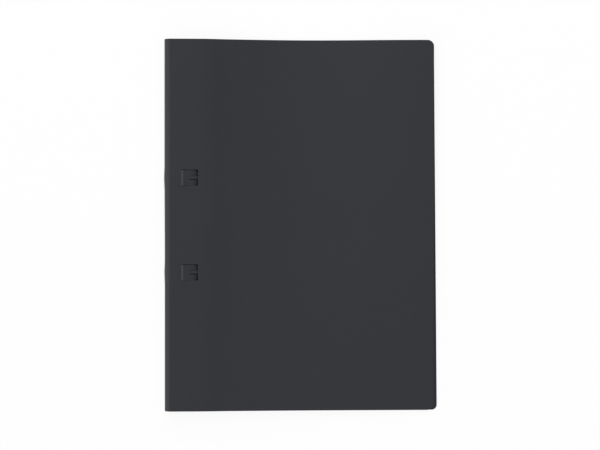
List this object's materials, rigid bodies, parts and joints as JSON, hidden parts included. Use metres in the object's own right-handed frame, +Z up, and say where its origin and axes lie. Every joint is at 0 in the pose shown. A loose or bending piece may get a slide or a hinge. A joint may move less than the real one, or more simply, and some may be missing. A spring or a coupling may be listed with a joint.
{
  "type": "strip binder",
  "caption": "Closed A4 strip binder with a half-round spine, a front cover with windows, and hinged binding strips that close onto hollow posts.",
  "frame": {"origin": "on the table, under the middle of the closed binder", "axes": "+X from the spine to the fore edge, +Y to the head, +Z up through the front cover"},
  "size_m": [0.2322, 0.315, 0.0122],
  "materials": {
    "cover_sheet": "fine matte grain, dark grey",
    "binding_strip": "satin, dark grey",
    "base_moulding": "satin moulded, dark grey"
  },
  "bodies": {
    "back": {"back_cover": "cover_sheet", "rear_fold": "cover_sheet", "base_strip": "base_moulding", "base_rivets": "base_moulding", "upper_strip_loop": "binding_strip", "upper_strip_crease": "binding_strip", "lower_strip_loop": "binding_strip", "lower_strip_crease": "binding_strip"},
    "spine": {"spine": "cover_sheet", "front_fold": "cover_sheet"},
    "front": {"front_cover": "cover_sheet"},
    "upper_flap": {"upper_strip_flap": "binding_strip"},
    "lower_flap": {"lower_strip_flap": "binding_strip"}
  },
  "joints": [
    {"name": "spine_hinge", "type": "hinge", "parent": "back", "child": "spine", "pos_m": [-0.1142, 0, 0.0019], "axis": [0, -1, 0], "range_deg": [0, 88.8]},
    {"name": "front_hinge", "type": "hinge", "parent": "spine", "child": "front", "pos_m": [-0.1142, 0, 0.0101], "axis": [0, -1, 0], "range_deg": [0, 93]},
    {"name": "upper_strip_hinge", "type": "hinge", "parent": "back", "child": "upper_flap", "pos_m": [-0.0987, 0.04, 0.01206], "axis": [0, -1, 0], "range_deg": [0, 105]},
    {"name": "lower_strip_hinge", "type": "hinge", "parent": "back", "child": "lower_flap", "pos_m": [-0.0987, -0.04, 0.01206], "axis": [0, -1, 0], "range_deg": [0, 105]}
  ]
}
